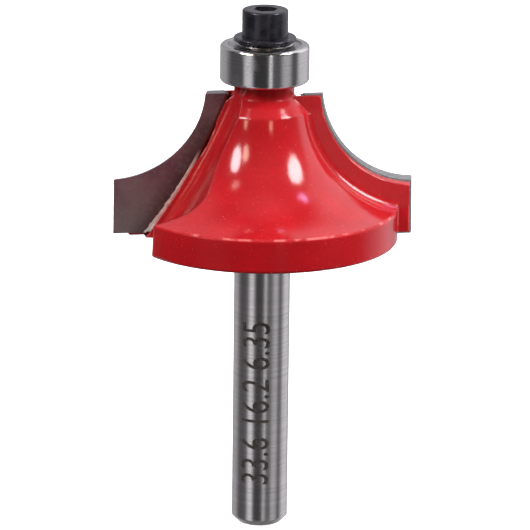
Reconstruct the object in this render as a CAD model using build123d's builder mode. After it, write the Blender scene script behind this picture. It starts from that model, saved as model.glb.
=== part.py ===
"""Two-flute ovolo router bit with a guide bearing on its end, in millimetres.

The bit's axis is Z.  The shank's end face stands at z = 0 and the guide bearing is at the top.
It cuts turning counter-clockwise as seen from the bearing.
"""

from build123d import *
import math
import os

# --- shank and turned body ---
SHANK_R = 6.35 / 2
SHANK_CHAMFER = 0.7
RIM_R = 15.2
RIM_BOTTOM_Z = 33.5
RIM_TOP_Z = 37.3
RIM_EDGE_R = 0.35
BELL_WAIST_R = 8.5
BELL_WAIST_Z = 41.2
RIDGE_R = 5.0
RIDGE_Z = 48.4
COLLAR_R = 4.2
COLLAR_Z = 49.4
NECK_R = 3.38
NECK_FOOT_Z = 50.1
NECK_TOP_Z = 51.55
BOSS_R = 2.5
BOSS_TOP_Z = 51.7
SHOULDER_FILLET_R = 0.45
SHANK_ROOT_R = 0.6

# --- cutting profile ---
CUT_R = 33.6 / 2
CUT_BOTTOM_Z = 34.05
CUT_LAND_TOP_Z = 40.45
CUT_ARC_R = 10.6
CUT_TOP_R = 6.6
CUT_TOP_Z = 50.2

# --- wings ---
WINGS = 2
WING_ANGLE = 10.0
SHEAR_ANGLE = 4.0
WING_MID_Z = 42.2
RAKE_OFFSET = 0.95
CARBIDE_T = 1.25
CARBIDE_RELIEF = 16.0
PROFILE_OVERRUN = 1.0
BRAZE_T = 0.1
BRAZE_GAP = 0.35
SEAT_T = CARBIDE_T + BRAZE_T
BACKING_T = 3.0
BACKING_INSET = 0.5
BACKING_END_INSET = 0.1
BACKING_RELIEF = 14.0
BACK_DEPTH = 2.1
BACK_TILT = 4.0
FOOT_R = 1.2
FOOT_SINK = 0.012
FOOT_BOTTOM_Z = 36.5
FOOT_TOP_Z = 48.3
FOOT_OUTER_R = 17.0

# --- gullets, milled with the edge of a side-and-face cutter ---
GULLET_CUTTER_R = 76.3
GULLET_CUTTER_U = 74.1
GULLET_CUTTER_Z = 77.5
GULLET_WIDTH = 8.3
GULLET_CORNER_R = 1.0
GULLET_FRONT_R = 1.8

# --- guide bearing, 3 mm bore and 10 mm outside ---
BEARING_OD_R = 5.0
BEARING_BORE_R = 1.5
BEARING_W = 4.2
BEARING_EDGE_R = 0.35
BEARING_MID_Z = BOSS_TOP_Z + BEARING_W / 2
BALLS = 7
BALL_R = 1.588 / 2
PITCH_R = 3.25
BALL_PLAY = 0.012
GROOVE_R = 1.04 * BALL_R
BORE_CHAMFER = 0.15
INNER_LAND_R = 2.6
OUTER_LAND_R = 3.9
SHIELD_SEAT_R = 4.15
SHIELD_SEAT_DEPTH = 0.45
SHIELD_T = 0.2
SHIELD_DEPTH = 0.15
SHIELD_BORE_R = 2.72
SHIELD_HEM = 0.12
CAGE_IN_R = 3.0
CAGE_OUT_R = 3.5
CAGE_HALF_H = 1.05
CAGE_PLAY = 0.05

# --- spacer, washer and screw ---
SPACER_FOOT_R = 2.5
SPACER_LIFT = 0.05
SPACER_R = 3.25
SPACER_T = 0.38
SPACER_BEVEL_W = 0.2
SPACER_BEVEL_H = 0.25
WASHER_R = 3.5
WASHER_BORE_R = 1.6
WASHER_T = 0.47
WASHER_EDGE = 0.1
SCREW_R = 1.47
SCREW_LENGTH = 12.0
HEAD_R = 2.58
HEAD_H = 3.1
HEAD_EDGE_R = 0.25
HEX_FLATS = 2.5
HEX_DEPTH = 1.6
HEX_TURN = 12.0
SCREW_TIP_CHAMFER = 0.4
TAPPED_R = 1.49
TAPPED_DEPTH = 9.0

SPACER_Z = BOSS_TOP_Z + BEARING_W
WASHER_Z = SPACER_Z + SPACER_T
HEAD_Z = WASHER_Z + WASHER_T

os.makedirs("parts", exist_ok=True)


def wing_plane(index, depth=0.0, lean=SHEAR_ANGLE):
    """Rake plane of one wing, or a plane behind it: x outward, y up the face, z back from the face."""
    angle = math.radians(WING_ANGLE + 360 / WINGS * index)
    level = math.cos(math.radians(lean))
    outward = (math.cos(angle), math.sin(angle), 0)
    backward = (level * math.sin(angle), -level * math.cos(angle), math.sin(math.radians(lean)))
    middle = Plane(origin=(0, 0, WING_MID_Z), x_dir=outward, z_dir=backward)
    return middle.offset(RAKE_OFFSET + depth)


def up(z):
    """Height on a wing plane of a point at height z on the bit."""
    return z - WING_MID_Z


def back_plane(wing, sink=0.0):
    """Plane of the milled back face of one wing, or one sunk below it."""
    return wing_plane(wing, BACK_DEPTH - sink, SHEAR_ANGLE + BACK_TILT)


def wing_profile(inset, end_inset):
    """Face with the cutting outline moved in by an inset and its flat ends by another."""
    outer_r = CUT_R - inset
    land_top = up(CUT_LAND_TOP_Z - inset)
    top_r = CUT_TOP_R - inset
    arc_top = up(CUT_TOP_Z - inset)
    bottom = up(CUT_BOTTOM_Z + end_inset)
    top = up(CUT_TOP_Z - end_inset)
    with BuildSketch() as profile:
        with BuildLine():
            Line((outer_r, bottom), (outer_r, land_top))
            RadiusArc((outer_r, land_top), (top_r, arc_top), CUT_ARC_R + inset)
            Polyline((top_r, arc_top), (top_r, top), (BOSS_R, top), (BOSS_R, bottom), (outer_r, bottom))
        make_face()
    return profile.sketch


def cutter_disc(clearance):
    """Circle that the milling cutter's edge sweeps on the rake plane, less a clearance."""
    with BuildSketch() as disc:
        with Locations((GULLET_CUTTER_U, up(GULLET_CUTTER_Z))):
            Circle(GULLET_CUTTER_R - clearance)
    return disc.sketch


# The side-and-face cutter that mills each gullet, with rounded corners, and a step for the tip's seat.
with BuildPart() as milling_cutter:
    with BuildSketch():
        add(cutter_disc(0))
    extrude(amount=-GULLET_WIDTH)
    fillet(milling_cutter.edges().group_by(Axis.Z)[-1], GULLET_CORNER_R)
    fillet(milling_cutter.edges().group_by(Axis.Z)[0], GULLET_FRONT_R)
    with BuildSketch():
        add(cutter_disc(GULLET_CORNER_R))
    extrude(amount=SEAT_T)

# The bell's flank in the turning plane.
with BuildLine(Plane.XZ):
    bell_arc = ThreePointArc((RIM_R, RIM_TOP_Z), (BELL_WAIST_R, BELL_WAIST_Z), (RIDGE_R, RIDGE_Z))


def make_backing(wing):
    """Wing behind the tip: it follows the cutting outline and its back is milled flat."""
    with BuildPart() as backing:
        with BuildSketch(wing_plane(wing, SEAT_T)):
            add(wing_profile(BACKING_INSET, BACKING_END_INSET))
        extrude(amount=BACKING_T, taper=BACKING_RELIEF)
        split(bisect_by=back_plane(wing), keep=Keep.BOTTOM)
    return backing


def on_back(edge, wing):
    """Whether an edge is the curve where the back of a wing meets the bell."""
    local = back_plane(wing, FOOT_SINK).to_local_coords(edge.position_at(0.5))
    return abs(local.Z) < 0.001 and edge.geom_type == GeomType.BSPLINE


def make_foot(wing):
    """Hollow corner that runs along the bell behind a wing, sunk a little into the bell."""
    middle = (FOOT_BOTTOM_Z + FOOT_TOP_Z) / 2
    height = FOOT_TOP_Z - FOOT_BOTTOM_Z
    with BuildPart() as foot:
        with BuildSketch(Plane.XZ):
            with Locations((FOOT_OUTER_R / 2, middle)):
                Rectangle(FOOT_OUTER_R, height + 2 * FOOT_R)
            with Locations((bell_arc.arc_center.X, bell_arc.arc_center.Z)):
                Circle(bell_arc.radius + FOOT_SINK, mode=Mode.SUBTRACT)
        revolve(axis=Axis.Z)
        with BuildSketch(back_plane(wing, FOOT_SINK)):
            with Locations((RIM_R, up(middle))):
                Rectangle(2 * RIM_R, 2 * height)
        extrude(amount=-SEAT_T)
        with BuildSketch(back_plane(wing, FOOT_SINK)):
            with Locations(((BOSS_R + RIM_R) / 2, up(middle))):
                Rectangle(RIM_R - BOSS_R, height)
        extrude(amount=RIM_R / 2, both=True, mode=Mode.INTERSECT)
        fillet(foot.edges().filter_by(lambda edge: on_back(edge, wing)), FOOT_R)
        with BuildSketch(wing_plane(wing, SEAT_T + FOOT_SINK)):
            add(wing_profile(BACKING_INSET + FOOT_SINK, BACKING_END_INSET + FOOT_SINK))
        extrude(amount=BACKING_T, taper=BACKING_RELIEF, mode=Mode.INTERSECT)
        with BuildSketch(Plane.XY.offset(FOOT_BOTTOM_Z)):
            Circle(RIM_R - FOOT_SINK)
        extrude(amount=height, mode=Mode.INTERSECT)
    return foot


# Body: shank, rim, bell and neck turned from one bar, two wings, two gullets and a tapped hole.
with BuildPart() as bit_body:
    with BuildSketch(Plane.XZ) as turned:
        with BuildLine():
            Polyline(
                (0, 0),
                (SHANK_R - SHANK_CHAMFER, 0),
                (SHANK_R, SHANK_CHAMFER),
                (SHANK_R, RIM_BOTTOM_Z),
                (RIM_R, RIM_BOTTOM_Z),
                (RIM_R, RIM_TOP_Z),
            )
            ThreePointArc((RIM_R, RIM_TOP_Z), (BELL_WAIST_R, BELL_WAIST_Z), (RIDGE_R, RIDGE_Z))
            Polyline(
                (RIDGE_R, RIDGE_Z),
                (COLLAR_R, COLLAR_Z),
                (NECK_R, NECK_FOOT_Z),
                (NECK_R, NECK_TOP_Z),
                (BOSS_R, NECK_TOP_Z),
                (BOSS_R, BOSS_TOP_Z),
                (0, BOSS_TOP_Z),
                (0, 0),
            )
        make_face()
        fillet(turned.vertices().sort_by(Axis.X)[-2:], RIM_EDGE_R)
        for corner in ((RIDGE_R, RIDGE_Z), (COLLAR_R, COLLAR_Z), (NECK_R, NECK_FOOT_Z)):
            fillet(turned.vertices().sort_by_distance(corner)[0], SHOULDER_FILLET_R)
        fillet(turned.vertices().sort_by_distance((SHANK_R, RIM_BOTTOM_Z))[0], SHANK_ROOT_R)
    revolve(axis=Axis.Z)
    for wing in range(WINGS):
        with Locations(wing_plane(wing)):
            add(milling_cutter.part, mode=Mode.SUBTRACT)
    for wing in range(WINGS):
        add(make_backing(wing).part)
        add(make_foot(wing).part)
    with Locations((0, 0, BOSS_TOP_Z)):
        Hole(TAPPED_R, depth=TAPPED_DEPTH)
bit_body.part.label = "bit_body"
export_step(bit_body.part, "parts/bit_body.step")


def make_tip(wing):
    """Carbide tip: flat rake face, relieved cutting edge and an arched inner edge."""
    with BuildPart() as tip:
        with BuildSketch(wing_plane(wing)):
            add(wing_profile(0, -PROFILE_OVERRUN))
        extrude(amount=CARBIDE_T, taper=CARBIDE_RELIEF)
        with BuildSketch(wing_plane(wing)):
            add(cutter_disc(GULLET_CORNER_R + BRAZE_GAP))
            with Locations((CUT_R, up((CUT_TOP_Z + CUT_BOTTOM_Z) / 2))):
                Rectangle(2 * CUT_R, CUT_TOP_Z - CUT_BOTTOM_Z, mode=Mode.INTERSECT)
        extrude(amount=CARBIDE_T, mode=Mode.INTERSECT)
    return tip


def make_braze(wing, tip):
    """Silver solder: a thin layer behind the tip and a bead along its inner edge."""
    with BuildPart() as braze:
        with BuildSketch(wing_plane(wing, SEAT_T)):
            add(wing_profile(BACKING_INSET, BACKING_END_INSET))
            add(cutter_disc(GULLET_CORNER_R), mode=Mode.INTERSECT)
        extrude(amount=-SEAT_T)
        add(tip.part, mode=Mode.SUBTRACT)
    return braze


for wing in range(WINGS):
    carbide_tip = make_tip(wing)
    carbide_tip.part.label = f"carbide_tip_{wing + 1}"
    export_step(carbide_tip.part, f"parts/carbide_tip_{wing + 1}.step")
    braze = make_braze(wing, carbide_tip)
    braze.part.label = f"braze_{wing + 1}"
    export_step(braze.part, f"parts/braze_{wing + 1}.step")


# Outer ring: polished band with a ball groove between two shield seats.
with BuildPart() as outer_ring:
    with BuildSketch(Plane.XZ) as ring:
        with Locations((0, BEARING_MID_Z)):
            with Locations(((OUTER_LAND_R + BEARING_OD_R) / 2, 0)):
                Rectangle(BEARING_OD_R - OUTER_LAND_R, BEARING_W)
        fillet(ring.vertices().group_by(Axis.X)[-1], BEARING_EDGE_R)
        for side in (-1, 1):
            seat_mid = BEARING_MID_Z + side * (BEARING_W - SHIELD_SEAT_DEPTH) / 2
            with Locations(((OUTER_LAND_R + SHIELD_SEAT_R) / 2, seat_mid)):
                Rectangle(SHIELD_SEAT_R - OUTER_LAND_R, SHIELD_SEAT_DEPTH, mode=Mode.SUBTRACT)
        with Locations((PITCH_R + BALL_R + BALL_PLAY - GROOVE_R, BEARING_MID_Z)):
            Circle(GROOVE_R, mode=Mode.SUBTRACT)
    revolve(axis=Axis.Z)
outer_ring.part.label = "bearing_outer_ring"
export_step(outer_ring.part, "parts/bearing_outer_ring.step")

# Inner ring: clamped between the neck's boss and the washer.
with BuildPart() as inner_ring:
    with BuildSketch(Plane.XZ) as ring:
        with Locations(((BEARING_BORE_R + INNER_LAND_R) / 2, BEARING_MID_Z)):
            Rectangle(INNER_LAND_R - BEARING_BORE_R, BEARING_W)
        chamfer(ring.vertices().group_by(Axis.X)[0], BORE_CHAMFER)
        with Locations((PITCH_R - BALL_R - BALL_PLAY + GROOVE_R, BEARING_MID_Z)):
            Circle(GROOVE_R, mode=Mode.SUBTRACT)
    revolve(axis=Axis.Z)
inner_ring.part.label = "bearing_inner_ring"
export_step(inner_ring.part, "parts/bearing_inner_ring.step")

# Balls, each on its own, evenly spaced on the pitch circle.
for ball in range(BALLS):
    with BuildPart() as bearing_ball:
        with Locations((0, 0, BEARING_MID_Z)):
            with PolarLocations(PITCH_R, 1, start_angle=360 / BALLS * ball):
                Sphere(BALL_R)
    bearing_ball.part.label = f"bearing_ball_{ball + 1}"
    export_step(bearing_ball.part, f"parts/bearing_ball_{ball + 1}.step")

# Cage: one ring with a round pocket bored through it for each ball.
with BuildPart() as cage:
    with BuildSketch(Plane.XY.offset(BEARING_MID_Z)):
        Circle(CAGE_OUT_R)
        Circle(CAGE_IN_R, mode=Mode.SUBTRACT)
    extrude(amount=CAGE_HALF_H, both=True)
    with Locations((0, 0, BEARING_MID_Z)):
        with PolarLocations(PITCH_R, BALLS):
            Cylinder(BALL_R + CAGE_PLAY, 2 * BALL_R, rotation=(0, 90, 0), mode=Mode.SUBTRACT)
cage.part.label = "bearing_cage"
export_step(cage.part, "parts/bearing_cage.step")

# Shields: pressed discs, one near each face, with a hem that sits on the outer ring's step.
for side, name in ((1, "bearing_shield_top"), (-1, "bearing_shield_bottom")):
    outer_z = BEARING_MID_Z + side * (BEARING_W / 2 - SHIELD_DEPTH)
    inner_z = outer_z - side * SHIELD_T
    hem_z = BEARING_MID_Z + side * (BEARING_W / 2 - SHIELD_SEAT_DEPTH)
    with BuildPart() as shield:
        with BuildSketch(Plane.XZ):
            with BuildLine():
                Polyline(
                    (SHIELD_BORE_R, outer_z),
                    (SHIELD_SEAT_R, outer_z),
                    (SHIELD_SEAT_R, hem_z),
                    (SHIELD_SEAT_R - SHIELD_HEM, hem_z),
                    (SHIELD_SEAT_R - SHIELD_HEM, inner_z),
                    (SHIELD_BORE_R, inner_z),
                    close=True,
                )
            make_face()
        revolve(axis=Axis.Z)
    shield.part.label = name
    export_step(shield.part, f"parts/{name}.step")

# Spacer: thin bevelled ring that rests on the inner ring and keeps the washer off the shield.
with BuildPart() as spacer:
    with BuildSketch(Plane.XZ):
        with BuildLine():
            Polyline(
                (WASHER_BORE_R, SPACER_Z),
                (SPACER_FOOT_R, SPACER_Z),
                (SPACER_FOOT_R, SPACER_Z + SPACER_LIFT),
                (SPACER_R, SPACER_Z + SPACER_LIFT),
                (SPACER_R, SPACER_Z + SPACER_T - SPACER_BEVEL_H),
                (SPACER_R - SPACER_BEVEL_W, SPACER_Z + SPACER_T),
                (WASHER_BORE_R, SPACER_Z + SPACER_T),
                close=True,
            )
        make_face()
    revolve(axis=Axis.Z)
spacer.part.label = "bearing_spacer"
export_step(spacer.part, "parts/bearing_spacer.step")

# Washer: flat black ring that holds the spacer and the bearing's inner ring down.
with BuildPart() as washer:
    with BuildSketch(Plane.XY.offset(WASHER_Z)):
        Circle(WASHER_R)
        Circle(WASHER_BORE_R, mode=Mode.SUBTRACT)
    extrude(amount=WASHER_T)
    chamfer(washer.edges().filter_by(GeomType.CIRCLE).group_by(SortBy.RADIUS)[-1], WASHER_EDGE)
washer.part.label = "washer"
export_step(washer.part, "parts/washer.step")

# Socket head cap screw, tightened into the body.
with BuildPart() as screw:
    with BuildSketch(Plane.XY.offset(HEAD_Z)):
        Circle(HEAD_R)
    extrude(amount=HEAD_H)
    fillet(screw.edges().group_by(Axis.Z)[-1], HEAD_EDGE_R)
    with BuildSketch(Plane.XY.offset(HEAD_Z)):
        Circle(SCREW_R)
    extrude(amount=-SCREW_LENGTH)
    chamfer(screw.edges().group_by(Axis.Z)[0], SCREW_TIP_CHAMFER)
    with BuildSketch(Plane.XY.offset(HEAD_Z + HEAD_H)):
        RegularPolygon(HEX_FLATS / 2, side_count=6, major_radius=False, rotation=HEX_TURN)
    extrude(amount=-HEX_DEPTH, mode=Mode.SUBTRACT)
screw.part.label = "socket_screw"
export_step(screw.part, "parts/socket_screw.step")
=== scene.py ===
"""Bearing-guided ovolo router bit: the finish of every piece, in metres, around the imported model."""

import math

import bmesh
import bpy
import numpy as np
from mathutils import Matrix, Vector


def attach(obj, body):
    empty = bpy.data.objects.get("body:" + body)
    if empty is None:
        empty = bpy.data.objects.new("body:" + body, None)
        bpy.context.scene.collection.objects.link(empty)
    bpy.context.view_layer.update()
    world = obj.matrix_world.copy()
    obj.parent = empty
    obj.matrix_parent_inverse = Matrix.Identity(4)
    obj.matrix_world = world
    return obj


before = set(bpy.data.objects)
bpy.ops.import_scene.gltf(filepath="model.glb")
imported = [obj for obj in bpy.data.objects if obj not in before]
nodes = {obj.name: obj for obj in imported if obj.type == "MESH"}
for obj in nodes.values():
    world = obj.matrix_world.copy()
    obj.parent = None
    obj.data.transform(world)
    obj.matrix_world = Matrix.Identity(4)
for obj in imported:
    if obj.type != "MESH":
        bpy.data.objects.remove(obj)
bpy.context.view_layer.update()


# ---------------------------------------------------------------------------
# Studio.  A pale round floor of matt paper under a pale dome, and a camera
# with a long lens a little above the bit.
# ---------------------------------------------------------------------------
scene = bpy.context.scene
scene.view_settings.view_transform = "Standard"

STAGE_R = 2.5
STAGE_SEGMENTS = 96
PAPER_WHITE = (0.90, 0.90, 0.90)
PAPER_ROUGHNESS = 0.9
PAPER_GLOSS = 0.1
FLOOR_CENTRE_R = 1e-5
FLOOR_GLOW = 0.62
DOME_TOP_ANGLE = 0.499 * math.pi
DOME_RINGS = 24
DOME_GLOW = 1.2

CAMERA_DISTANCE = 0.4657
CAMERA_TILT = math.radians(15.886)
CAMERA_ROLL = math.radians(0.709)
CAMERA_TARGET = Vector((0.00031, 0.0, 0.03028))
CAMERA_LENS_MM = 280.0
CAMERA_SENSOR_MM = 36.0
CAMERA_CLIP_START = 0.01


def revolved_sheet(radii, heights, turns):
    """Surface of revolution: the point (r cos a, r sin a, h) for each profile point (r, h) and angle a."""
    angle = np.linspace(0.0, 2.0 * math.pi, turns, endpoint=False)
    r = np.asarray(radii, float)[:, None]
    h = np.asarray(heights, float)[:, None]
    points = np.stack([r * np.cos(angle), r * np.sin(angle), h + 0.0 * angle], axis=-1)
    row, col = np.meshgrid(np.arange(len(radii) - 1), np.arange(turns), indexing="ij")
    after = (col + 1) % turns
    quads = np.stack(
        [row * turns + col, row * turns + after, (row + 1) * turns + after, (row + 1) * turns + col], axis=-1
    )
    return points.reshape(-1, 3), quads.reshape(-1, 4)


def paper_sheet(name, radii, heights, glow):
    """Matt paper with a glow of its own, unseen in reflections."""
    points, quads = revolved_sheet(radii, heights, STAGE_SEGMENTS)
    mesh = bpy.data.meshes.new(name)
    mesh.from_pydata(points.tolist(), [], quads.tolist())
    mesh.polygons.foreach_set("use_smooth", [True] * len(quads))
    paper = bpy.data.materials.new(name + "_paper")
    paper.use_nodes = True
    shader = paper.node_tree.nodes["Principled BSDF"]
    shader.inputs["Base Color"].default_value = (*PAPER_WHITE, 1.0)
    shader.inputs["Roughness"].default_value = PAPER_ROUGHNESS
    shader.inputs["Specular IOR Level"].default_value = PAPER_GLOSS
    shader.inputs["Emission Color"].default_value = (*PAPER_WHITE, 1.0)
    shader.inputs["Emission Strength"].default_value = glow
    mesh.materials.append(paper)
    sheet = bpy.data.objects.new(name, mesh)
    scene.collection.objects.link(sheet)
    sheet.visible_glossy = False
    sheet.visible_diffuse = False
    return sheet


paper_sheet("floor", [STAGE_R, FLOOR_CENTRE_R], [0.0, 0.0], FLOOR_GLOW)
dome_angle = np.linspace(0.0, DOME_TOP_ANGLE, DOME_RINGS)
dome = paper_sheet("dome", STAGE_R * np.cos(dome_angle), STAGE_R * np.sin(dome_angle), DOME_GLOW)
dome.visible_shadow = False
dome.visible_transmission = False


def aim(thing, place, target, roll=0.0):
    """Turn a camera or light at place so that it looks at target, upright but for a roll about its view."""
    forward = (target - place).normalized()
    level = forward.cross(Vector((0, 0, 1))).normalized()
    upright = level.cross(forward)
    across = level * math.cos(roll) + upright * math.sin(roll)
    above = upright * math.cos(roll) - level * math.sin(roll)
    turn = Matrix((across, above, -forward)).transposed()
    thing.matrix_world = Matrix.Translation(place) @ turn.to_4x4()


camera_data = bpy.data.cameras.new("camera")
camera_data.lens = CAMERA_LENS_MM
camera_data.sensor_width = CAMERA_SENSOR_MM
camera_data.clip_start = CAMERA_CLIP_START
camera = bpy.data.objects.new("camera", camera_data)
scene.collection.objects.link(camera)
camera_way = Vector((0.0, -math.cos(CAMERA_TILT), math.sin(CAMERA_TILT)))
aim(camera, CAMERA_TARGET + CAMERA_DISTANCE * camera_way, CAMERA_TARGET, CAMERA_ROLL)
scene.camera = camera


# ---------------------------------------------------------------------------
# Lights.  Three oval soft boxes and four small lamps, two broad fills that
# light without being mirrored, and a room whose walls are soft window strips.
# ---------------------------------------------------------------------------
LIGHT_CENTRE = Vector((0.0, 0.0, 0.040))
LIGHT_DISTANCE = 0.9

# name, azimuth from the camera's side towards +X, elevation, width, height, brightness, colour
LAMPS = [
    ("box_left", -62, 35, 0.27, 0.36, 20.0, (1.0, 0.95, 1.0)),
    ("box_left_warm", -41, 33, 0.17, 0.24, 13.0, (1.0, 0.80, 0.66)),
    ("box_right", 70, 42, 0.34, 0.38, 20.0, (1.0, 0.96, 0.98)),
    ("lamp_ridge_left", -46, 8, 0.14, 0.12, 9.0, (1.0, 0.74, 0.52)),
    ("lamp_ridge_right", 17, 11, 0.12, 0.12, 9.0, (1.0, 0.78, 0.58)),
    ("lamp_low_left", -66, 58, 0.14, 0.11, 6.0, (1.0, 0.80, 0.74)),
    ("lamp_violet", 97, 60, 0.16, 0.10, 12.0, (0.72, 0.52, 1.0)),
]
FILLS = [
    ("fill_overhead", 14, 62, 1.1, 1.1, 2.3, (1.0, 1.0, 1.0)),
    ("fill_right", 96, 14, 0.6, 0.6, 5.2, (1.0, 0.95, 0.99)),
]

# azimuth from, to, softness, elevation from, to, softness, brightness
WINDOW_STRIPS = [
    (-54, -31, 6, -48, 2, 9, 0.78),
    (-104, -58, 8, -48, 2, 9, 0.05),
    (12, 20, 3, -48, 4, 8, 0.98),
    (20, 94, 8, -48, 4, 9, 0.07),
    (46, 72, 8, -48, 0, 9, 0.46),
    (96, 142, 9, -48, -4, 8, 0.74),
    (96, 142, 9, -4, 56, 8, 1.25),
    (142, 400, 9, -48, 22, 9, 0.42),
    (142, 400, 9, 22, 56, 9, 0.95),
    (-400, -108, 16, -48, 62, 10, 0.42),
    (-400, 400, 9, -95, -48, 10, 0.16),
    (-400, 400, 9, 76, 95, 8, 0.24),
]
ROOM_LIGHT = 0.052
ROOM_TINT = (1.0, 0.975, 1.04, 1.0)
DEGREES = 180.0 / math.pi


def oval_light(name, azimuth, elevation, width, height, brightness, colour):
    """Oval area light that looks at the bell; its power is pi times its area times its brightness."""
    a, e = math.radians(azimuth), math.radians(elevation)
    way = Vector((math.sin(a) * math.cos(e), -math.cos(a) * math.cos(e), math.sin(e)))
    data = bpy.data.lights.new(name, "AREA")
    data.shape = "ELLIPSE"
    data.size, data.size_y = width, height
    data.energy = brightness * math.pi * (math.pi / 4.0 * width * height)
    data.color = colour
    light = bpy.data.objects.new(name, data)
    scene.collection.objects.link(light)
    aim(light, LIGHT_CENTRE + way * LIGHT_DISTANCE, LIGHT_CENTRE)
    light.visible_camera = False
    return light


def room(tree):
    """World light by direction: each strip is a product of two soft steps in azimuth and two in elevation."""
    tree.nodes.clear()

    def calc(operation, a, b=0.0):
        node = tree.nodes.new("ShaderNodeMath")
        node.operation = operation
        for socket, value in zip(node.inputs, (a, b)):
            if isinstance(value, float):
                socket.default_value = value
            else:
                tree.links.new(value, socket)
        return node.outputs[0]

    def step(value, edge, soft, rising):
        node = tree.nodes.new("ShaderNodeMapRange")
        node.interpolation_type = "SMOOTHSTEP"
        tree.links.new(value, node.inputs["Value"])
        node.inputs["From Min"].default_value = edge - soft
        node.inputs["From Max"].default_value = edge + soft
        node.inputs["To Min"].default_value = 0.0 if rising else 1.0
        node.inputs["To Max"].default_value = 1.0 if rising else 0.0
        return node.outputs[0]

    way = tree.nodes.new("ShaderNodeTexCoord").outputs["Generated"]
    split = tree.nodes.new("ShaderNodeSeparateXYZ")
    tree.links.new(way, split.inputs[0])
    front = calc("MULTIPLY", split.outputs["Y"], -1.0)
    azimuth = calc("MULTIPLY", calc("ARCTAN2", split.outputs["X"], front), DEGREES)
    elevation = calc("MULTIPLY", calc("ARCSINE", split.outputs["Z"]), DEGREES)
    total = None
    for a0, a1, a_soft, e0, e1, e_soft, brightness in WINDOW_STRIPS:
        across = calc("MULTIPLY", step(azimuth, a0, a_soft, True), step(azimuth, a1, a_soft, False))
        upward = calc("MULTIPLY", step(elevation, e0, e_soft, True), step(elevation, e1, e_soft, False))
        strip = calc("MULTIPLY", calc("MULTIPLY", across, upward), brightness)
        total = strip if total is None else calc("ADD", total, strip)
    background = tree.nodes.new("ShaderNodeBackground")
    background.inputs["Color"].default_value = ROOM_TINT
    tree.links.new(calc("ADD", total, ROOM_LIGHT), background.inputs["Strength"])
    output = tree.nodes.new("ShaderNodeOutputWorld")
    tree.links.new(background.outputs[0], output.inputs["Surface"])


for lamp in LAMPS:
    oval_light(*lamp)
for fill in FILLS:
    oval_light(*fill).visible_glossy = False
scene.world = bpy.data.worlds.new("world")
scene.world.use_nodes = True
room(scene.world.node_tree)


# ---------------------------------------------------------------------------
# Body.  One bar of tool steel, turned and milled.  The head is dipped in
# glossy red enamel that lies soft over its edges; pink is painted along the
# edges, partly thin enamel and partly painted highlight, and as a painted
# highlight ring on the rim's upper edge.  The shank, centreless ground, and
# the bearing's seat stay bare.
# ---------------------------------------------------------------------------
SHANK_R = 0.003175
ENAMEL_FOOT_Z = 0.03322
ENAMEL_TOP_Z = 0.05158
DIP_LINE_BLUR = 2e-5
DIP_LINE_WOBBLE = 8e-5
BARE_EDGE_R = (0.0040, 0.0041)

# heights and radii between which the enamel turns dull: rim, neck and cone
RIM_TOP_Z = (0.03735, 0.0376)
RIM_WALL_R = (0.0146, 0.0150)
NECK_FOOT_Z = (0.0497, 0.0502)
CONE_FOOT_Z = (0.0484, 0.0488)
CONE_DULLNESS = 0.6

# the ring along the rim's rounded upper edge where a painted highlight line is laid in pink
RIM_HIGHLIGHT_INNER_R = (0.01484, 0.01496)
RIM_HIGHLIGHT_OUTER_R = (0.01520, 0.01526)
RIM_HIGHLIGHT_LOWER_Z = (0.03714, 0.03726)
RIM_HIGHLIGHT_UPPER_Z = (0.03738, 0.03744)
RIM_HIGHLIGHT_SHARE = 0.75

RED_POOLED = (0.340, 0.0052, 0.0085)
RED_THINNER = (0.395, 0.0062, 0.010)
RED_MOTTLE = (0.30, 0.006, 0.008)
DUST_PINK = (0.62, 0.16, 0.15)
EDGE_PINK_AND_HIGHLIGHT = (0.80, 0.26, 0.25)
STEEL_GREY = (0.58, 0.57, 0.555)
STEEL_BRIGHT = (0.72, 0.71, 0.695)
STEEL_STREAK = (0.40, 0.385, 0.37)

# grains per metre
DIP_LINE_GRAIN = 900.0
POOL_GRAIN = 260.0
MOTTLE_GRAIN = 2300.0
DUST_GRAIN = 5200.0
EDGE_GRAIN = 620.0
SKIN_GRAIN = 1500.0
TURNED_GRAIN = 14000.0
STREAK_GRAIN = 700.0

STREAK_STRETCH = (1.0, 1.0, 0.05)

# how far each mark covers what lies under it
MOTTLE_SHARE = 0.5
DUST_SHARE = 0.55
EDGE_SHARE = (0.05, 0.55)
STREAK_SHARE = 0.35

# limits between which a noise, or another value, goes from none to all
WIDE = (0.3, 0.7)
MIDDLE = (0.35, 0.65)
DUST_LIMITS = (0.735, 0.765)
EDGE_PATCH_LIMITS = (0.47, 0.62)
EDGE_TURN_LIMITS = (0.87, 0.98)
STREAK_LIMITS = (0.4, 0.75)
GRAZING_LIMITS = (0.22, 0.62)

ENAMEL_EDGE_R = 0.00034
ENAMEL_RIPPLE = 0.000012
ENAMEL_RIPPLE_STRENGTH = 0.45
STEEL_LINE_DEPTH = 0.000002
ENAMEL_ROUGHNESS = 0.75
DULL_ROUGHNESS = 0.44
STEEL_ROUGHNESS = 0.21
STREAK_ROUGHNESS = 0.06
GLOSS_ROUGHNESS = 0.135
GLOSS_IOR = 1.5
DULL_GLOSS = 0.10
UNDERCOAT_GLOSS = 0.07


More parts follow.
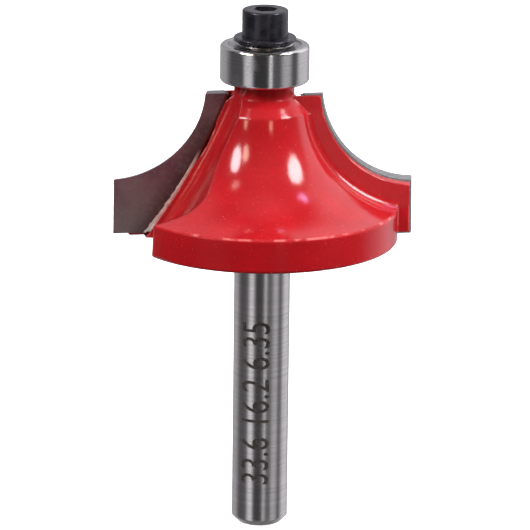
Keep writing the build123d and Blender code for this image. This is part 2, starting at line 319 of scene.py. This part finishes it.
class Finish:
    """One procedural material, with short calls that add its nodes and join them."""

    def __init__(self, name, roughness, metallic=1.0):
        self.material = bpy.data.materials.new(name)
        self.material.use_nodes = True
        self.tree = self.material.node_tree
        self.shader = self.tree.nodes["Principled BSDF"]
        self.set(Roughness=roughness, Metallic=metallic)
        self.place = self.add("ShaderNodeTexCoord").outputs["Object"]

    def join(self, value, socket):
        if isinstance(value, bpy.types.NodeSocket):
            self.tree.links.new(value, socket)
        else:
            socket.default_value = value

    def add(self, kind, inputs=(), **settings):
        node = self.tree.nodes.new(kind)
        for name, value in settings.items():
            setattr(node, name, value)
        for name, value in dict(inputs).items():
            self.join(value, node.inputs[name])
        return node

    def set(self, **sockets):
        for name, value in sockets.items():
            self.join(value, self.shader.inputs[name.replace("_", " ")])

    def math(self, operation, a, b=0.0):
        return self.add("ShaderNodeMath", {0: a, 1: b}, operation=operation).outputs[0]

    def times(self, a, b):
        return self.math("MULTIPLY", a, b)

    def most(self, a, b):
        return self.math("MAXIMUM", a, b)

    def axis(self, letter):
        return self.add("ShaderNodeSeparateXYZ", {0: self.place}).outputs[letter]

    def radius(self):
        """Distance from the bit's axis: the length of (x, y, 0)."""
        flat = self.add("ShaderNodeVectorMath", {0: self.place, 1: (1, 1, 0)}, operation="MULTIPLY")
        return self.add("ShaderNodeVectorMath", {0: flat.outputs[0]}, operation="LENGTH").outputs["Value"]

    def dot(self, a, b):
        """Dot product of two vectors: with the place, the distance along a fixed direction."""
        return self.add("ShaderNodeVectorMath", {0: a, 1: b}, operation="DOT_PRODUCT").outputs["Value"]

    def noise(self, grain, detail=2.0, stretch=None):
        vector = self.place
        if stretch is not None:
            vector = self.add("ShaderNodeMapping", {"Vector": vector, "Scale": stretch}).outputs[0]
        inputs = {"Vector": vector, "Scale": grain, "Detail": detail}
        return self.add("ShaderNodeTexNoise", inputs).outputs["Fac"]

    def turned_noise(self, grain, detail=2.0):
        """Noise over (radius, z) alone, so its marks run round the axis."""
        vector = self.add("ShaderNodeCombineXYZ", {"X": self.radius(), "Z": self.axis("Z")}).outputs[0]
        inputs = {"Vector": vector, "Scale": grain, "Detail": detail}
        return self.add("ShaderNodeTexNoise", inputs).outputs["Fac"]

    def spread(self, value, low, high, to_low=0.0, to_high=1.0, soft=True):
        """Value from low..high stretched to to_low..to_high and held at both ends."""
        inputs = {"Value": value, "From Min": low, "From Max": high, "To Min": to_low, "To Max": to_high}
        interpolation = "SMOOTHSTEP" if soft else "LINEAR"
        return self.add("ShaderNodeMapRange", inputs, interpolation_type=interpolation).outputs[0]

    def fall(self, value, low, high):
        """One below low, nothing above high."""
        return self.spread(value, low, high, 1.0, 0.0)

    def mix(self, kind, label, factor, a, b):
        node = self.add("ShaderNodeMix", data_type=kind)
        for part, value in (("Factor_Float", factor), ("A_" + label, a), ("B_" + label, b)):
            self.join(value, next(s for s in node.inputs if s.identifier == part))
        return next(s for s in node.outputs if s.identifier == "Result_" + label)

    def blend_value(self, factor, a, b):
        return self.mix("FLOAT", "Float", factor, a, b)

    def blend_way(self, factor, a, b):
        return self.mix("VECTOR", "Vector", factor, a, b)

    def blend(self, factor, a, b):
        a, b = ((*c, 1.0) if isinstance(c, tuple) else c for c in (a, b))
        return self.mix("RGBA", "Color", factor, a, b)

    def soft_edge(self, radius, samples=4):
        """Surface direction with every edge rounded by radius."""
        return self.add("ShaderNodeBevel", {"Radius": radius}, samples=samples).outputs[0]

    def edge_turn(self, edge):
        """One on flat ground, less where the rounded edge turns away from the true face."""
        return self.dot(edge, self.add("ShaderNodeNewGeometry").outputs["Normal"])

    def bump(self, height, distance, strength=0.5, normal=None):
        inputs = {"Height": height, "Distance": distance, "Strength": strength}
        if normal is not None:
            inputs["Normal"] = normal
        return self.add("ShaderNodeBump", inputs).outputs[0]


def dress(node, finish):
    """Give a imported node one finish."""
    mesh = nodes[node].data
    mesh.materials.clear()
    mesh.materials.append(finish.material)


def bare_steel_mask(f):
    """One on the shank below the dip line and on the seat above it, nothing on the enamel."""
    wobble = f.spread(f.noise(DIP_LINE_GRAIN), *WIDE, -DIP_LINE_WOBBLE, DIP_LINE_WOBBLE)
    height = f.math("ADD", f.axis("Z"), wobble)
    below = f.fall(height, ENAMEL_FOOT_Z - DIP_LINE_BLUR, ENAMEL_FOOT_Z + DIP_LINE_BLUR)
    seat = f.spread(height, ENAMEL_TOP_Z - DIP_LINE_BLUR, ENAMEL_TOP_Z + DIP_LINE_BLUR)
    return f.most(f.times(below, f.fall(f.radius(), *BARE_EDGE_R)), seat)


def dull_enamel_mask(f):
    """One on the rim's wall and the neck, a little less on the cone, nothing on the bell."""
    rim = f.times(f.fall(f.axis("Z"), *RIM_TOP_Z), f.spread(f.radius(), *RIM_WALL_R))
    neck = f.spread(f.axis("Z"), *NECK_FOOT_Z)
    cone = f.spread(f.axis("Z"), *CONE_FOOT_Z, 0.0, CONE_DULLNESS)
    return f.most(rim, f.most(neck, cone))


def enamel_red(f, edge):
    """Red that pools and mottles, with dust in it, and pink in broken lines on the edges, partly thin enamel
    and partly painted highlight, with a painted highlight ring on the rim.
    """
    red = f.blend(f.spread(f.noise(POOL_GRAIN, 3.0), *WIDE), RED_POOLED, RED_THINNER)
    mottle = f.spread(f.noise(MOTTLE_GRAIN, 3.0), *MIDDLE)
    red = f.blend(f.times(mottle, MOTTLE_SHARE), red, RED_MOTTLE)
    dust = f.spread(f.noise(DUST_GRAIN, 1.0), *DUST_LIMITS)
    red = f.blend(f.times(dust, DUST_SHARE), red, DUST_PINK)

    # painted highlight: a pink ring on the rim's upper edge, and pink on every edge that is partly thin
    # enamel, partly painted highlight
    inside = f.times(f.spread(f.radius(), *RIM_HIGHLIGHT_INNER_R), f.spread(f.axis("Z"), *RIM_HIGHLIGHT_LOWER_Z))
    beyond = f.most(f.spread(f.radius(), *RIM_HIGHLIGHT_OUTER_R), f.spread(f.axis("Z"), *RIM_HIGHLIGHT_UPPER_Z))
    rim_highlight = f.times(inside, f.spread(beyond, 0.0, 1.0, RIM_HIGHLIGHT_SHARE, 0.0))
    edges = f.most(f.fall(f.edge_turn(edge), *EDGE_TURN_LIMITS), rim_highlight)
    patches = f.spread(f.noise(EDGE_GRAIN, 3.0), *EDGE_PATCH_LIMITS, *EDGE_SHARE)
    return f.blend(f.times(edges, patches), red, EDGE_PINK_AND_HIGHLIGHT)


def body_finish():
    """Enamel where the body is dipped, ground steel where it is bare, told apart by height and radius."""
    f = Finish("body_enamel_and_steel", 0.35)
    f.set(Coat_Roughness=GLOSS_ROUGHNESS, Coat_IOR=GLOSS_IOR, Specular_IOR_Level=UNDERCOAT_GLOSS)
    bare = bare_steel_mask(f)
    dull = dull_enamel_mask(f)
    edge = f.soft_edge(ENAMEL_EDGE_R, 6)
    rings = f.turned_noise(TURNED_GRAIN, 3.0)
    streak = f.noise(STREAK_GRAIN, 3.0, STREAK_STRETCH)
    steel = f.blend(f.spread(rings, *MIDDLE), STEEL_GREY, STEEL_BRIGHT)
    steel = f.blend(f.spread(streak, *STREAK_LIMITS, 0.0, STREAK_SHARE), steel, STEEL_STREAK)

    slant = f.add("ShaderNodeLayerWeight", {"Blend": 0.5}).outputs["Facing"]
    coat = f.blend_value(dull, 1.0, f.spread(slant, *GRAZING_LIMITS, DULL_GLOSS, 1.0))
    enamel_roughness = f.spread(dull, 0.0, 1.0, ENAMEL_ROUGHNESS, DULL_ROUGHNESS)
    skin = f.bump(f.noise(SKIN_GRAIN), ENAMEL_RIPPLE, ENAMEL_RIPPLE_STRENGTH, edge)
    ground = f.bump(rings, STEEL_LINE_DEPTH, 0.5, edge)
    roughness = f.blend_value(bare, enamel_roughness, STEEL_ROUGHNESS)
    f.set(
        Base_Color=f.blend(bare, enamel_red(f, edge), steel),
        Metallic=bare,
        Roughness=f.math("ADD", roughness, f.spread(streak, *WIDE, 0.0, STREAK_ROUGHNESS)),
        Coat_Weight=f.times(f.fall(bare, 0.0, 1.0), coat),
        Normal=f.blend_way(bare, skin, ground),
        Coat_Normal=skin,
    )
    return f


dress("bit_body", body_finish())


# ---------------------------------------------------------------------------
# Size numbers.  Cutting diameter, cutting height and shank diameter in
# millimetres, etched dark along the shank; here thin solids that just break
# its surface.
# ---------------------------------------------------------------------------
NUMBER_TEXT = "33.6 16.2 6.35"
NUMBER_BOLDNESS = 0.002
NUMBER_FOOT_Z = 0.0052
NUMBER_LENGTH = 0.0192
NUMBER_HEIGHT = 0.0033
NUMBER_FOOT_ANGLE = math.radians(18.0)
NUMBER_RISE = 0.000012
NUMBER_CUTS = 18
ETCH_BLACK = (0.030, 0.027, 0.025)
ETCH_GREY = (0.10, 0.092, 0.085)
ETCH_PATCH_LIMITS = (0.4, 0.7)
ETCH_CLOUD_GRAIN = 6000.0
ETCH_PIT_GRAIN = 9000.0
ETCH_PIT_DEPTH = 0.000004


def number_mesh():
    """Flat digits, cut into strips and wrapped: (x, y, z) goes to height x, angle -y / R and radius R + z."""
    curve = bpy.data.curves.new("shank_numbers", "FONT")
    curve.body = NUMBER_TEXT
    curve.extrude = 1.0
    curve.offset = NUMBER_BOLDNESS
    flat = bpy.data.objects.new("flat_numbers", curve)
    scene.collection.objects.link(flat)
    mesh = bpy.data.meshes.new_from_object(flat.evaluated_get(bpy.context.evaluated_depsgraph_get()))
    bpy.data.objects.remove(flat)
    work = bmesh.new()
    work.from_mesh(mesh)
    bmesh.ops.remove_doubles(work, verts=work.verts, dist=1e-5)
    low = min(v.co.y for v in work.verts)
    tall = max(v.co.y for v in work.verts) - low
    for cut in range(1, NUMBER_CUTS):
        everything = work.verts[:] + work.edges[:] + work.faces[:]
        level = (0.0, low + tall * cut / NUMBER_CUTS, 0.0)
        bmesh.ops.bisect_plane(work, geom=everything, plane_co=level, plane_no=(0, 1, 0), dist=1e-6)
    bmesh.ops.recalc_face_normals(work, faces=work.faces[:])
    work.to_mesh(mesh)
    work.free()
    place = np.empty(len(mesh.vertices) * 3)
    mesh.vertices.foreach_get("co", place)
    x, y, z = place.reshape(-1, 3).T
    x = (x - x.min()) / (x.max() - x.min()) * NUMBER_LENGTH
    y = (y - low) / tall * NUMBER_HEIGHT
    radius = SHANK_R + np.sign(z) * NUMBER_RISE
    angle = NUMBER_FOOT_ANGLE - y / SHANK_R
    wrapped = np.stack([radius * np.sin(angle), -radius * np.cos(angle), NUMBER_FOOT_Z + x], axis=-1)
    mesh.vertices.foreach_set("co", wrapped.ravel())
    mesh.update()
    return mesh


numbers = bpy.data.objects.new("shank_numbers", number_mesh())
scene.collection.objects.link(numbers)
etch = Finish("etched_black", 0.55, 0.4)
etch.set(
    Base_Color=etch.blend(
        etch.spread(etch.noise(ETCH_CLOUD_GRAIN, 3.0), *ETCH_PATCH_LIMITS), ETCH_BLACK, ETCH_GREY
    ),
    Normal=etch.bump(etch.noise(ETCH_PIT_GRAIN), ETCH_PIT_DEPTH),
)
numbers.data.materials.clear()
numbers.data.materials.append(etch.material)
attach(numbers, "bit")


# ---------------------------------------------------------------------------
# Carbide tips.  Sintered tungsten carbide plates: the rake face is dull and
# stained brown by brazing, with a little solder spilt on it low down and a
# painted shade darkening it along its inner edge, and the relieved edges are
# freshly ground and pale.
# ---------------------------------------------------------------------------
WING_ANGLE = math.radians(10.0)
SHEAR_ANGLE = math.radians(4.0)
RAKE_OFFSET = 0.00095
WING_MID_Z = 0.0422
RELIEF_START = (0.00001, 0.00005)

# the tip's inner edge is an arc about this point of the wing's plane
CUTTER_U = 0.0741
CUTTER_Z = 0.0775
INNER_EDGE_R = 0.07495

FACE_BROWN = (0.175, 0.086, 0.096)
FACE_DARK = (0.125, 0.044, 0.060)
FACE_GREY = (0.155, 0.135, 0.125)
FACE_GRAIN_GREY = (0.19, 0.165, 0.155)
PAINTED_SHADE_BROWN = (0.045, 0.022, 0.022)
RELIEF_GREY = (0.295, 0.305, 0.31)
RELIEF_BRIGHT = (0.405, 0.415, 0.42)
SPILT_SOLDER = (0.78, 0.70, 0.64)

GREY_FOOT_Z = (0.035, 0.042)
SHADE_FADE = 0.0022
SHADE_MARGIN = 0.0001
SHADE_TOP_Z = (0.0460, 0.0485)
SPILL_Z = (0.0345, 0.0415)
SPILL_WIDTH = 0.00034
SPILL_WAVE = 0.00006
SPILL_FADE = 0.00006
STAIN_GRAIN = 230.0
CARBIDE_GRAIN = 2600.0
GRINDING_GRAIN = 9000.0
SPILL_GRAIN = 1500.0
GRINDING_STRETCH = (0.05, 0.05, 1.0)
STAIN_LIMITS = (0.35, 0.7)
GRAIN_LIMITS = (0.45, 0.75)
GREY_SHARE = 0.6
SHADE_SHARE = 0.75
GRAIN_SHARE = 0.35
SPILL_SHARE = 0.85

# rake face, then ground relief
CARBIDE_METAL = (0.35, 0.95)
CARBIDE_ROUGHNESS = (0.46, 0.40)
GRAIN_ROUGHNESS = 0.05
CARBIDE_EDGE_R = 0.00003
CARBIDE_LINE_DEPTH = 0.000003


def carbide_finish(index):
    """Dull face and ground relief, told apart by the depth behind the leaning rake plane."""
    f = Finish(f"carbide_{index + 1}", 0.5, 0.55)
    angle = WING_ANGLE + math.pi * index
    outward = (math.cos(angle), math.sin(angle), 0.0)
    lean = math.cos(SHEAR_ANGLE)
    backward = (lean * math.sin(angle), -lean * math.cos(angle), math.sin(SHEAR_ANGLE))
    depth = f.math("SUBTRACT", f.dot(f.place, backward), RAKE_OFFSET + WING_MID_Z * backward[2])
    relief = f.spread(depth, *RELIEF_START)

    across = f.math("SUBTRACT", f.dot(f.place, outward), CUTTER_U)
    upward = f.math("SUBTRACT", f.axis("Z"), CUTTER_Z)
    reach = f.math("SQRT", f.math("ADD", f.times(across, across), f.times(upward, upward)))

    face = f.blend(f.spread(f.noise(STAIN_GRAIN, 3.0), *STAIN_LIMITS), FACE_BROWN, FACE_DARK)
    face = f.blend(f.times(f.fall(f.axis("Z"), *GREY_FOOT_Z), GREY_SHARE), face, FACE_GREY)
    # painted shade: the face is darkened along its inner edge, beside the gullet wall, up to below the top
    inner_shade = f.spread(reach, INNER_EDGE_R - SHADE_FADE, INNER_EDGE_R - SHADE_MARGIN, 0.0, SHADE_SHARE)
    face = f.blend(f.times(inner_shade, f.fall(f.axis("Z"), *SHADE_TOP_Z)), face, PAINTED_SHADE_BROWN)
    grain = f.noise(CARBIDE_GRAIN, 4.0)
    face = f.blend(f.spread(grain, *GRAIN_LIMITS, 0.0, GRAIN_SHARE), face, FACE_GRAIN_GREY)
    lines = f.noise(GRINDING_GRAIN, 2.0, GRINDING_STRETCH)
    ground = f.blend(f.spread(lines, *WIDE), RELIEF_GREY, RELIEF_BRIGHT)

    wave = f.spread(f.noise(SPILL_GRAIN), *WIDE, -SPILL_WAVE, SPILL_WAVE)
    margin = f.math("ADD", wave, f.spread(f.axis("Z"), *SPILL_Z, SPILL_WIDTH, 0.0, False))
    spill = f.math("SUBTRACT", f.math("ADD", reach, margin), INNER_EDGE_R)
    face = f.blend(f.spread(spill, 0.0, SPILL_FADE, 0.0, SPILL_SHARE), face, SPILT_SOLDER)

    height = f.math("ADD", f.times(lines, 0.6), f.times(grain, 0.4))
    uneven = f.spread(grain, *WIDE, -GRAIN_ROUGHNESS, GRAIN_ROUGHNESS)
    f.set(
        Base_Color=f.blend(relief, face, ground),
        Metallic=f.spread(relief, 0.0, 1.0, *CARBIDE_METAL),
        Roughness=f.math("ADD", f.spread(relief, 0.0, 1.0, *CARBIDE_ROUGHNESS), uneven),
        Normal=f.bump(height, CARBIDE_LINE_DEPTH, 0.5, f.soft_edge(CARBIDE_EDGE_R)),
    )
    return f


for wing in (0, 1):
    dress(f"carbide_tip_{wing + 1}", carbide_finish(wing))


# ---------------------------------------------------------------------------
# Braze.  Silver solder drawn between each tip and its seat, with a lumpy
# pinkish-silver bead along the tip's inner edge and a little burnt flux; its
# upper end is painted dark red, partly enamel run over it and partly painted
# shade in the crease beside the tip.
# ---------------------------------------------------------------------------
SOLDER_PINKISH = (0.74, 0.62, 0.56)
SOLDER_SILVER = (0.93, 0.84, 0.78)
SOLDER_ENAMEL_AND_SHADE = (0.11, 0.022, 0.02)
FLUX_BROWN = (0.20, 0.10, 0.075)
DARK_SOLDER_TOP_Z = (0.0415, 0.0440)
SOLDER_EDGE_R = 0.00012
SOLDER_GRAIN = 1500.0
SOLDER_LUMP = 0.00006
SOLDER_LUMP_STRENGTH = 0.6
FLUX_GRAIN = 650.0
FLUX_LIMITS = (0.55, 0.72)
SOLDER_ROUGHNESS = 0.30
FLUX_ROUGHNESS = 0.62

solder = Finish("silver_solder", 0.38, 0.6)
lumps = solder.noise(SOLDER_GRAIN, 3.0)
flux = solder.spread(solder.noise(FLUX_GRAIN, 3.0), *FLUX_LIMITS)
silver = solder.blend(solder.spread(lumps, *MIDDLE), SOLDER_PINKISH, SOLDER_SILVER)
# upper end painted dark red: partly enamel over the solder, partly painted shade in the crease
silver = solder.blend(solder.spread(solder.axis("Z"), *DARK_SOLDER_TOP_Z), silver, SOLDER_ENAMEL_AND_SHADE)
solder.set(
    Base_Color=solder.blend(flux, silver, FLUX_BROWN),
    Roughness=solder.spread(flux, 0.0, 1.0, SOLDER_ROUGHNESS, FLUX_ROUGHNESS),
    Normal=solder.bump(lumps, SOLDER_LUMP, SOLDER_LUMP_STRENGTH, solder.soft_edge(SOLDER_EDGE_R)),
)
for wing in (0, 1):
    dress(f"braze_{wing + 1}", solder)


# ---------------------------------------------------------------------------
# Guide bearing.  Bright steel rings, ground and then tumbled so that fine
# lines run round them; bright balls, a pressed cage and two satin shields.
# ---------------------------------------------------------------------------
RING_EDGE_R = 0.00006
RING_GRAIN = 13000.0
PIT_GRAIN = 4200.0
FINGERMARK_GRAIN = 420.0
PIT_LIMITS = (0.62, 0.72)
FINGERMARK_LIMITS = (0.45, 0.7)
PIT_SHARE = 0.35
PIT_DARKNESS = 0.45
PIT_ROUGHNESS = 0.1
FINGERMARK_ROUGHNESS = 0.09
BALL_BRIGHT = (0.70, 0.70, 0.71)
BALL_CLOUD = (0.60, 0.60, 0.61)
BALL_CLOUD_GRAIN = 2500.0
BALL_SMEAR_GRAIN = 3000.0
BALL_SKIN_GRAIN = 6000.0
BALL_SKIN_DEPTH = 0.000001
BALL_ROUGHNESS = (0.05, 0.12)

# darker and lighter steel, roughness, depth of the turned lines
SATIN_SHIELD = ((0.34, 0.335, 0.33), (0.47, 0.465, 0.46), 0.3, 0.000006)

# node, material name, then the same four
RINGS = [
    ("bearing_outer_ring", "polished_ring", (0.50, 0.495, 0.485), (0.66, 0.655, 0.645), 0.15, 0.0000012),
    ("bearing_inner_ring", "inner_ring_steel", (0.48, 0.475, 0.47), (0.64, 0.635, 0.63), 0.2, 0.000003),
    ("bearing_spacer", "spacer_steel", (0.52, 0.515, 0.51), (0.70, 0.695, 0.69), 0.18, 0.000003),
    ("bearing_shield_top", "shield_top_steel", *SATIN_SHIELD),
    ("bearing_shield_bottom", "shield_bottom_steel", *SATIN_SHIELD),
    ("bearing_cage", "cage_steel", (0.38, 0.36, 0.32), (0.52, 0.49, 0.44), 0.32, 0.000006),
]


def ring_finish(name, dark, light, roughness, line_depth):
    """Steel with fine turned lines, soft round edges, tiny pits and a few fingermarks."""
    f = Finish(name, roughness)
    rings = f.turned_noise(RING_GRAIN, 3.0)
    pits = f.spread(f.noise(PIT_GRAIN), *PIT_LIMITS)
    marks = f.spread(f.noise(FINGERMARK_GRAIN, 3.0), *FINGERMARK_LIMITS)
    colour = f.blend(f.spread(rings, *MIDDLE), dark, light)
    colour = f.blend(f.times(pits, PIT_SHARE), colour, tuple(PIT_DARKNESS * c for c in dark))
    height = f.math("SUBTRACT", f.times(rings, 0.7), f.times(pits, 0.5))
    smears = f.spread(marks, 0.0, 1.0, roughness, roughness + FINGERMARK_ROUGHNESS)
    f.set(
        Base_Color=colour,
        Roughness=f.math("ADD", smears, f.times(pits, PIT_ROUGHNESS)),
        Normal=f.bump(height, line_depth, 0.5, f.soft_edge(RING_EDGE_R)),
    )
    return f


for node, *steel in RINGS:
    dress(node, ring_finish(*steel))

ball_steel = Finish("ball_steel", 0.07)
clouds = ball_steel.spread(ball_steel.noise(BALL_CLOUD_GRAIN), 0.4, 0.7)
ball_steel.set(
    Base_Color=ball_steel.blend(clouds, BALL_BRIGHT, BALL_CLOUD),
    Roughness=ball_steel.spread(ball_steel.noise(BALL_SMEAR_GRAIN), 0.3, 0.8, *BALL_ROUGHNESS),
    Normal=ball_steel.bump(ball_steel.noise(BALL_SKIN_GRAIN), BALL_SKIN_DEPTH, 0.3),
)
for ball in range(1, 8):
    dress(f"bearing_ball_{ball}", ball_steel)


# ---------------------------------------------------------------------------
# Washer and socket screw.  Hardened steel, blackened and lightly oiled: near
# black with a cold sheen, painted greyer on the edges, partly rubbed wear where
# tools touch and partly painted highlight.
# ---------------------------------------------------------------------------
WASHER_EDGE_R = 0.00009
WASHER_EDGE_GREY = 0.8
SCREW_EDGE_R = 0.00012
SCREW_EDGE_GREY = 0.45
OXIDE_BLACK = (0.016, 0.016, 0.021)
OXIDE_BLUE = (0.032, 0.032, 0.040)
EDGE_GREY_AND_HIGHLIGHT = (0.26, 0.26, 0.27)
OIL_GRAIN = 1400.0
OXIDE_GRAIN = 700.0
OXIDE_SKIN_GRAIN = 5200.0
OXIDE_SKIN_DEPTH = 0.000008
OXIDE_SKIN_STRENGTH = 0.45
OXIDE_ROUGHNESS = (0.19, 0.33)
EDGE_GREY_TURN_LIMITS = (0.90, 0.995)
EDGE_GREY_PATCH_LIMITS = (0.35, 0.6)


def oxide_finish(name, edge_r, edge_grey):
    """Black oxide painted grey where the rounded edges turn: partly thinned oxide, partly painted highlight.
    """
    f = Finish(name, 0.28, 0.5)
    edge = f.soft_edge(edge_r, 6)
    cloud = f.noise(OIL_GRAIN, 4.0)
    # grey painted on the turning edges in patches: partly rubbed wear, partly painted highlight
    turned = f.spread(f.edge_turn(edge), *EDGE_GREY_TURN_LIMITS, edge_grey, 0.0)
    rubbed_and_highlit = f.times(turned, f.spread(cloud, *EDGE_GREY_PATCH_LIMITS))
    black = f.blend(f.spread(f.noise(OXIDE_GRAIN, 3.0), *MIDDLE), OXIDE_BLACK, OXIDE_BLUE)
    f.set(
        Base_Color=f.blend(rubbed_and_highlit, black, EDGE_GREY_AND_HIGHLIGHT),
        Roughness=f.spread(cloud, *WIDE, *OXIDE_ROUGHNESS),
        Normal=f.bump(f.noise(OXIDE_SKIN_GRAIN, 3.0), OXIDE_SKIN_DEPTH, OXIDE_SKIN_STRENGTH, edge),
    )
    return f


dress("washer", oxide_finish("washer_black", WASHER_EDGE_R, WASHER_EDGE_GREY))
dress("socket_screw", oxide_finish("screw_black", SCREW_EDGE_R, SCREW_EDGE_GREY))
